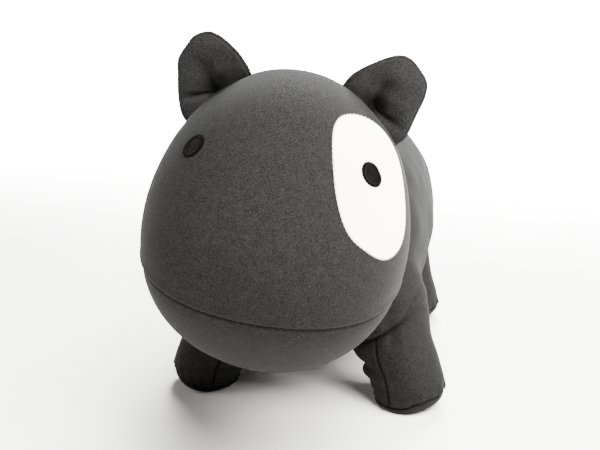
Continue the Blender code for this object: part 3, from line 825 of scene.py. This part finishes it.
def ear_panel(side, front, material):
    """An ear's front or back panel; the front one is drawn into a deep dimple at its base."""
    shape = EARS[side]
    origin = joint_place(side + "_ear_fold")
    up = unit(np.array(shape["up"]))
    facing = np.array(shape["facing"])
    facing = unit(facing - up * (facing @ up))
    along = np.array(JOINTS[side + "_ear_fold"]["axis"], float)
    along = unit(along - up * (along @ up) - facing * (along @ facing))
    pinch = np.array(shape["pinch"])
    outline = round_outline(shape["outline"], EAR_COLUMNS) - pinch
    reach = np.linalg.norm(outline, axis=1)
    share = np.linspace(0.0, 1.0, EAR_ROWS)[:, None] ** 0.8
    flat = outline[None] * share[..., None]
    inset = (1.0 - share) * reach
    turn = np.arctan2(outline[:, 1], outline[:, 0])
    turns = np.broadcast_to(turn, inset.shape)
    place = flat + pinch
    cup = 3.2 * (place[..., 0] / 20.0) ** 2 - 1.5 * (place[..., 1] / 30.0) ** 2
    pillow = (1.0 - share**2) ** 0.55
    if front:
        distance = share * reach
        puff = EAR_PUFF * pillow - EAR_DIMPLE_DEPTH * bell(distance, 0.0, 5.0)
        puff = puff - 3.4 * bell(distance, 0.0, 13.0)
        valley = bell(turns, shape["valley"], 0.34) + bell(turns, shape["fold"], 0.16)
        puff = puff - EAR_VALLEY_DEPTH * valley * bell(distance, 9.5, 7.5)
        puff = puff - EAR_SEAM_DEPTH * bell(inset, EAR_SEAM_INSET, 0.35)
        depth = cup + puff
    else:
        puff = EAR_BACK_PUFF * pillow - EAR_SEAM_DEPTH * bell(inset, EAR_SEAM_INSET, 0.4)
        puff = puff + 0.7 * np.cos(turns * 7.0) * bell(share, 0.5, 0.25)
        depth = cup - puff
    depth = depth + 0.5 * lumps(np.stack([*np.moveaxis(place, -1, 0), cup], -1), 14.0, 5) * pillow
    points = origin + (
        place[..., 0, None] * along + place[..., 1, None] * up + depth[..., None] * facing
    ) * MM
    faces = grid_faces(EAR_ROWS, EAR_COLUMNS, True)
    handed = np.cross(along, up) @ facing
    if (handed > 0.0) != front:
        faces = faces[:, ::-1]
    word = "front" if front else "back"
    piece = new_piece(f"{side}_ear_{word}_skin", points.reshape(-1, 3), faces, material)
    weld(piece)
    nodes = [f"{side}_ear_{word}_panel"]
    if front:
        nodes.append(side + "_ear_wadding")
    dress(piece, "charcoal_knit", *nodes)
    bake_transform(piece)


# ---------------------------------------------------------------- legs

# A leg's hip, the middle of its sole, where its skin meets the body's on the inner side, and how
# far its fabric bunches there, all in millimetres.
FRONT_LEG = {
    "hip": (50.0, -8.0, 60.0),
    "sole": (63.0, -20.0),
    "inner": (33.0, 36.0),
    "bunch": 8.5,
    "spread": 1.2,
}
REAR_LEG = {
    "hip": (40.0, 102.0, 58.0),
    "sole": (48.0, 119.0),
    "inner": (23.0, 35.0),
    "bunch": 2.0,
    "spread": 0.0,
}
LEGS = {
    "front_left": {**FRONT_LEG, "side": 1.0, "seed": 11},
    "front_right": {**FRONT_LEG, "side": -1.0, "seed": 12},
    "rear_left": {**REAR_LEG, "side": 1.0, "seed": 13},
    "rear_right": {**REAR_LEG, "side": -1.0, "seed": 14},
}
LEG_RADIUS = 21.2 * MM
SOLE_RADIUS = 19.3 * MM
SOLE_SEAM = 3.8 * MM
OUTER_SEAM_RISE = 6.5 * MM
SOLE_EDGE = 4.8 * MM
OUTER_EDGE_GROWTH = 8.0 * MM
LEG_COLUMNS = 264
LEG_LUMP_HEIGHT = 0.45
LEG_SEAM_DEPTH = 1.3
LEG_SEAM_WIDTH = 0.5
SOLE_SEAM_DEPTH = 1.1
SOLE_GATHER = 0.33
BULGE_HEIGHT = 1.1
BULGE_PITCH = 9.0
BUNCH_HEIGHT = 32.0
CREASE_DEPTH = 1.8
CREASE_SLOPE = math.atan2(27.0, 37.0)


def leg_hip(leg):
    """A leg's hip joint."""
    return np.array(leg["hip"]) * (leg["side"] * MM, MM, MM)


def leg_centre(leg, z):
    """The leg's centre line at heights z, as x and y."""
    hip_x, hip_y, hip_z = leg["hip"]
    sole_x, sole_y = leg["sole"]
    share = np.clip(z / (hip_z * MM), 0.0, 1.0) ** 1.6
    x = sole_x + (hip_x - sole_x) * share + leg["spread"] * bell(z, 17.0 * MM, 8.0 * MM)
    y = sole_y + (hip_y - sole_y) * share
    return leg["side"] * x * MM, y * MM


def leg_radius(z):
    """The leg's radius at heights z."""
    return SOLE_RADIUS + (LEG_RADIUS - SOLE_RADIUS) * smooth_step(3.0 * MM, 15.0 * MM, z)


def leg_depth(leg, points):
    """How far points are outside a leg's tube, and how much they are on its outer side, 0 to 1."""
    hip = leg_hip(leg)
    x, y = leg_centre(leg, points[..., 2])
    across = points[..., 0] - x
    reach = np.hypot(across, points[..., 1] - y)
    low = reach - leg_radius(points[..., 2])
    high = np.linalg.norm(points - hip, axis=-1) - LEG_RADIUS
    outer = smooth_step(0.2, 0.95, leg["side"] * across / np.maximum(reach, MM))
    return np.where(points[..., 2] < hip[2], low, high), outer


def crease_plane(leg):
    """A point and the downward normal of the plane where the leg's skin meets the body's."""
    side = leg["side"]
    x, z = leg["inner"]
    point = np.array((side * x, leg["hip"][1], z)) * MM
    normal = np.array((side * math.sin(CREASE_SLOPE), 0.0, -math.cos(CREASE_SLOPE)))
    return point, normal


def crease_distance(leg, points):
    """How far points are past the crease, on the leg's side."""
    point, normal = crease_plane(leg)
    return (points - point) @ normal


def grid_normals(points, wrap):
    """Outward normals of a grid of points whose rows run round a closed shape."""
    down = np.gradient(points, axis=0)
    if wrap:
        across = np.roll(points, -1, axis=1) - np.roll(points, 1, axis=1)
    else:
        across = np.gradient(points, axis=1)
    normal = np.cross(across, down)
    length = np.linalg.norm(normal, axis=-1, keepdims=True)
    normal = normal / np.maximum(length, 1e-15)
    for row, inner in ((0, 1), (-1, -2)):
        mean = normal[inner].mean(axis=0)
        normal[row] = mean / np.linalg.norm(mean)
    return normal


def leg_grid(leg, turn):
    """A leg's plain points from its sole's middle to its dome's top, their radii and its seam."""
    hip = leg_hip(leg)
    outward = 0.0 if leg["side"] > 0 else math.pi
    outer = smooth_step(-0.3, 0.9, np.cos(turn - outward))
    seam = SOLE_SEAM + OUTER_SEAM_RISE * outer
    edge = SOLE_EDGE + OUTER_EDGE_GROWTH * outer
    radius = leg_radius(seam)
    rim = np.linspace(0.0, math.pi / 2.0, 14)[1:, None]
    flat = np.linspace(0.0, 1.0, 12)[:, None]
    share = np.linspace(0.0, 1.0, 112)[1:, None] ** 1.15
    lift = np.linspace(0.0, math.pi / 2.0, 22)[1:, None]
    tube = seam + (hip[2] - seam) * share
    dome_height, dome_radius, _ = np.broadcast_arrays(
        hip[2] + LEG_RADIUS * np.sin(lift), LEG_RADIUS * np.cos(lift), seam
    )
    heights = np.concatenate(
        [np.zeros((len(flat), len(turn))), seam * (1.0 - np.cos(rim)), tube, dome_height]
    )
    radii = np.concatenate(
        [
            flat * (radius - edge),
            radius - edge + edge * np.sin(rim),
            leg_radius(tube),
            dome_radius,
        ]
    )
    x, y = leg_centre(leg, heights)
    points = np.stack([x + radii * np.cos(turn), y + radii * np.sin(turn), heights], axis=-1)
    return points, radii / MM, seam / MM


def leg_relief(leg, points, turn, radii, seam):
    """How far a leg's skin stands off its plain shape, in millimetres, and how much painted shade
    its seams and crease get.
    """
    side = leg["side"]
    seed = leg["seed"]
    height = points[..., 2] / MM
    turns = np.broadcast_to(turn, height.shape)
    inward = 0.0 if side < 0 else math.pi
    from_inner = wrap_angle(turns - inward)
    outer = smooth_step(0.2, 0.95, -np.cos(from_inner))
    offset = LEG_LUMP_HEIGHT * lumps(points, 26.0 * MM, seed)
    # fold is painted shade: dark along the side seams, the sole seam and the crease with the body.
    fold = np.zeros(height.shape)
    fade = smooth_step(4.0, 8.0, height)
    front_seam = (-math.pi / 2.0 - side * 0.54, 0.12)
    back_seam = (math.pi / 2.0 + side * 0.3, 0.1)
    for middle, sway in (front_seam, back_seam):
        bearing = middle - side * sway * (height / 25.0 - 0.8)
        away = wrap_angle(turns - bearing) * radii
        offset = offset - fade * LEG_SEAM_DEPTH * bell(away, 0.0, LEG_SEAM_WIDTH)
        offset = offset + fade * 0.5 * bell(np.abs(away), 2.2, 1.8)
        offset = offset + fade * 0.28 * np.cos(height * 2.0) * bell(away, 1.6, 2.0)
        fold = np.maximum(fold, fade * 0.95 * bell(away, 0.0, LEG_SEAM_WIDTH))
    above = height - seam
    offset = offset - SOLE_SEAM_DEPTH * bell(above, 0.0, 0.55) + 0.5 * bell(above, 2.2, 1.6)
    fold = np.maximum(fold, 0.85 * bell(above, 0.0, 0.5))
    gathers = np.cos(turns * 17.0) + 0.6 * np.cos(turns * 11.0 + seed)
    offset = offset + SOLE_GATHER * gathers * bell(above, 2.5, 3.2)
    bulges = np.cos(height * 2.0 * math.pi / BULGE_PITCH + seed + 1.5 * from_inner)
    offset = offset + BULGE_HEIGHT * bulges * bell(height, 22.0, 12.0) * bell(from_inner, 0.0, 0.9)
    bunch = leg["bunch"]
    offset = offset + bunch * bell(height, BUNCH_HEIGHT, 4.2) * bell(from_inner, 0.0, 0.6)
    offset = offset + 0.55 * bunch * bell(height, 20.0, 8.0) * bell(from_inner, 0.0, 0.8)
    offset = offset - 1.7 * bell(height, 40.0, 14.0) * outer
    past = crease_distance(leg, points) / MM
    folds = np.cos(turns * 9.0 + seed) + 0.5 * np.cos(turns * 14.0 + 1.0)
    tight = 1.0 - outer
    offset = offset - CREASE_DEPTH * tight * bell(past, 0.0, 3.0)
    offset = offset + 0.5 * tight * folds * bell(past, 5.0, 4.5)
    # Painted shade in the crease where the leg meets the body.
    fold = np.maximum(fold, 0.7 * tight * bell(past, 0.0, 1.6))
    offset = offset - np.clip(0.35 * (-past - 9.0 * outer), 0.0, 4.0)
    return np.where(height < 0.05, 0.0, offset), fold


def make_leg(name, knit):
    """A leg's skin with its sole, seams and gathers."""
    leg = LEGS[name]
    turn = turns_round(LEG_COLUMNS)
    points, radii, seam = leg_grid(leg, turn)
    normal = grid_normals(points, True)
    offset, fold = leg_relief(leg, points, turn, radii, seam)
    points = points + normal * (offset * MM)[..., None]
    points[..., 2] = np.maximum(points[..., 2], 0.0)
    faces = grid_faces(len(points), LEG_COLUMNS, True)
    piece = new_piece(name + "_leg_skin", points.reshape(-1, 3), faces, knit, fold)
    weld(piece)
    dress(piece, "charcoal_knit", name + "_leg_cover", name + "_leg_stuffing", name + "_sole")
    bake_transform(piece)


# ---------------------------------------------------------------- body

BODY_CENTRE = np.array((0.0, 54.0, 89.0)) * MM
BODY_HALF = np.array((66.0, 93.0, 71.0)) * MM
BODY_PLAN_SQUARENESS = 2.8
BODY_SIDE_SQUARENESS = 2.3
GUSSET_HALF_ANGLE = math.radians(38.0)
BODY_RADIUS = 72.0 * MM
LEG_FILLET = 15.0 * MM
NECK_GAP = 1.2 * MM
NECK_RIM_FILLET = 5.0 * MM
BODY_SEAM_DEPTH = 1.15
NECK_GATHER = 0.4
SIDE_COLUMNS = 230
BELLY_COLUMNS = 124
BODY_ROWS = 300


def body_depth(points):
    """How far points are outside the body, with its shoulders, haunches and the head's hollow."""
    x, y, z = (np.abs(points[..., i] - BODY_CENTRE[i]) / BODY_HALF[i] for i in range(3))
    plan = x**BODY_PLAN_SQUARENESS + y**BODY_PLAN_SQUARENESS
    side = BODY_SIDE_SQUARENESS
    level = (plan ** (side / BODY_PLAN_SQUARENESS) + z**side) ** (1.0 / side)
    depth = (level - 1.0) * BODY_RADIUS
    for leg in LEGS.values():
        tube, outer = leg_depth(leg, points)
        hollow = outer * bell(points[..., 2], 44.0 * MM, 12.0 * MM)
        overlap = (0.8 - 0.5 * outer - hollow) * MM
        rounding = (5.0 + 11.0 * outer) * MM
        mound = smooth_max(tube - overlap, crease_distance(leg, points), rounding)
        depth = -smooth_max(-depth, -mound, LEG_FILLET)
    return smooth_max(depth, NECK_GAP - head_depth(points), NECK_RIM_FILLET)


def body_reach(directions):
    """Distance from the body's centre to where each direction first leaves the body."""
    steps = np.linspace(14.0, 118.0, 53) * MM
    first = np.full(directions.shape[:-1], steps[-1])
    found = np.zeros(directions.shape[:-1], bool)
    for step in steps:
        outside = body_depth(BODY_CENTRE + directions * step) > 0.0
        first = np.where(outside & ~found, step, first)
        found |= outside
    low = first - (steps[1] - steps[0])
    high = first
    for _ in range(12):
        middle = (low + high) / 2.0
        inside = body_depth(BODY_CENTRE + directions * middle[..., None]) < 0.0
        low = np.where(inside, middle, low)
        high = np.where(inside, high, middle)
    return low


def make_body(knit):
    """The side panels and the belly gusset, sewn along the back and both edges of the belly."""
    belly = math.pi - GUSSET_HALF_ANGLE
    seams = (0.0, belly, 2.0 * math.pi - belly, 2.0 * math.pi)
    counts = (SIDE_COLUMNS, BELLY_COLUMNS, SIDE_COLUMNS)
    spans = zip(seams[:-1], seams[1:], counts)
    angles = np.concatenate([np.linspace(low, high, n + 1)[:-1] for low, high, n in spans])
    slants, spins = np.broadcast_arrays(np.linspace(0.0, math.pi, BODY_ROWS)[:, None], angles)
    wide = np.sin(slants)
    directions = np.stack([wide * np.sin(spins), -np.cos(slants), wide * np.cos(spins)], axis=-1)
    points = BODY_CENTRE + directions * body_reach(directions)[..., None]
    normal = grid_normals(points, True)
    if ((points - BODY_CENTRE) * normal).sum() < 0.0:
        normal = -normal
    ring = np.hypot(points[..., 0] - BODY_CENTRE[0], points[..., 2] - BODY_CENTRE[2]) / MM
    offset = 0.6 * lumps(points, 48.0 * MM, 21) + 0.22 * lumps(points, 20.0 * MM, 22)
    length = points[..., 1] / MM
    fade = smooth_step(6.0, 22.0, ring)
    # fold is painted shade along the body's three seams.
    fold = np.zeros(ring.shape)
    for seam in seams[:-1]:
        gap = wrap_angle(angles - seam) * ring
        groove = BODY_SEAM_DEPTH * bell(gap, 0.0, 0.65)
        offset = offset - fade * (groove - 0.5 * bell(np.abs(gap), 2.8, 2.2))
        offset = offset + fade * 0.3 * np.cos(length * 1.15 + seam) * bell(gap, 0.0, 4.0)
        fold = np.maximum(fold, 0.85 * fade * bell(gap, 0.0, 0.55))
    for leg in LEGS.values():
        tube, outer = leg_depth(leg, points)
        near_tube = bell(tube / MM, 1.0, 3.0)
        past = crease_distance(leg, points) / MM
        x, y = leg_centre(leg, points[..., 2])
        turn = np.arctan2(points[..., 1] - y, points[..., 0] - x)
        folds = np.cos(turn * 9.0 + leg["seed"]) + 0.5 * np.cos(turn * 14.0 + 1.0)
        offset = offset + 0.5 * (1.0 - outer) * folds * near_tube * bell(past, -5.0, 5.0)
    gap = head_depth(points) / MM
    neck = points - NECK
    spin = np.arctan2(neck[..., 2], neck[..., 0])
    gathers = np.cos(spin * 21.0) + 0.6 * np.cos(spin * 34.0 + 1.0)
    offset = offset + NECK_GATHER * gathers * smooth_step(0.8, 3.0, gap) * bell(gap, 3.0, 7.0)
    points = points + normal * (offset * MM)[..., None]
    total = len(angles)
    left_end = SIDE_COLUMNS
    belly_end = SIDE_COLUMNS + BELLY_COLUMNS
    parts = {
        "left_side_skin": (0, left_end, ("left_side_panel", "body_stuffing")),
        "belly_skin": (left_end, belly_end, ("belly_gusset",)),
        "right_side_skin": (belly_end, total, ("right_side_panel",)),
    }
    for name, (first, last, nodes) in parts.items():
        columns = np.arange(first, last + 1) % total
        part = points[:, columns]
        faces = grid_faces(BODY_ROWS, len(columns), False)[:, ::-1]
        piece = new_piece(name, part.reshape(-1, 3), faces, knit, fold[:, columns])
        weld(piece)
        dress(piece, "charcoal_knit", *nodes)
        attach(piece, "body")


# ---------------------------------------------------------------- tail and neck seam

# The tail's measures are in millimetres.
TAIL_RISE = math.radians(48.0)
TAIL_START = -12.0
TAIL_LENGTH = 24.5
TAIL_ROOT_RADIUS = 9.2
TAIL_TIP_RADIUS = 6.2
TAIL_CAP = 6.0
TAIL_CURL = 0.006
TAIL_SEAM_DEPTH = 0.7
TAIL_COLUMNS = 160


def make_tail(knit):
    """A short stuffed tail with a round tip and a seam down each side."""
    root = joint_place("tail_wag")
    along = np.array((0.0, math.cos(TAIL_RISE), math.sin(TAIL_RISE)))
    over = np.array((0.0, -math.sin(TAIL_RISE), math.cos(TAIL_RISE)))
    side = np.array((1.0, 0.0, 0.0))
    straight = np.linspace(TAIL_START, TAIL_LENGTH, 60)
    cap = np.linspace(0.0, math.pi / 2.0, 18)[1:]
    travel = np.concatenate([straight, TAIL_LENGTH + TAIL_CAP * np.sin(cap)])
    narrowing = (TAIL_ROOT_RADIUS - TAIL_TIP_RADIUS) * smooth_step(-8.0, TAIL_LENGTH, straight)
    radius = np.concatenate([TAIL_ROOT_RADIUS - narrowing, TAIL_TIP_RADIUS * np.cos(cap)])
    turn = turns_round(TAIL_COLUMNS)
    curl = TAIL_CURL * np.clip(travel, 0.0, None) ** 2
    ring = side * np.cos(turn)[:, None] + over * np.sin(turn)[:, None]
    centre = root + (along * travel[:, None] + over * curl[:, None]) * MM
    points = centre[:, None] + ring[None] * (radius * MM)[:, None, None]
    normal = np.broadcast_to(ring[None], points.shape)
    offset = 0.35 * lumps(points, 13.0 * MM, 31)
    for seam in (0.0, math.pi):
        away = wrap_angle(turn - seam) * radius[:, None]
        offset = offset - TAIL_SEAM_DEPTH * bell(away, 0.0, 0.5)
        offset = offset + 0.3 * bell(np.abs(away), 1.8, 1.3)
    offset = offset * smooth_step(30.4, 27.0, travel)[:, None]
    gathers = np.cos(turn * 9.0) + 0.5 * np.cos(turn * 13.0)
    offset = offset + 0.35 * gathers * bell(travel, 1.0, 5.0)[:, None]
    points = points + normal * (offset * MM)[..., None]
    faces = grid_faces(len(travel), TAIL_COLUMNS, True)
    piece = new_piece("tail_skin", points.reshape(-1, 3), faces, knit)
    weld(piece)
    dress(piece, "charcoal_knit", "tail_cover", "tail_stuffing")
    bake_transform(piece)


NECK_DROP = math.radians(25.0)
NECK_SPREAD = math.radians(62.0)
NECK_STITCHES = 96
NECK_STITCH = (2.4 * MM, 0.8 * MM, 0.7 * MM)


def make_neck_seam(thread):
    """The gathering thread that closes the body round the neck."""
    axis = np.array((0.0, math.cos(NECK_DROP), -math.sin(NECK_DROP)))
    side = np.array((1.0, 0.0, 0.0))
    over = np.cross(side, axis)
    radius = NECK_RADIUS + 0.9 * MM
    turn = turns_round(NECK_STITCHES)
    ring = side * np.cos(turn)[:, None] + over * np.sin(turn)[:, None]
    normals = unit(ring * math.sin(NECK_SPREAD) + axis * math.cos(NECK_SPREAD))
    places = NECK + normals * radius
    ways = unit(side * -np.sin(turn)[:, None] + over * np.cos(turn)[:, None])
    piece = stitches("neck_seam_stitches", places, ways, normals, NECK_STITCH, thread)
    dress(piece, "black_thread", "neck_seam_thread")
    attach(piece, "neck")


# ---------------------------------------------------------------- everything

make_camera()
make_studio()
knit = knit_material()
thread = thread_material()
felt = felt_material()
make_head(knit)
make_mouth_stitches(thread)
make_patch(felt)
make_eyes(thread)
for side in EARS:
    ear_panel(side, True, knit)
    ear_panel(side, False, knit)
for leg_name in LEGS:
    make_leg(leg_name, knit)
make_body(knit)
make_tail(knit)
make_neck_seam(thread)
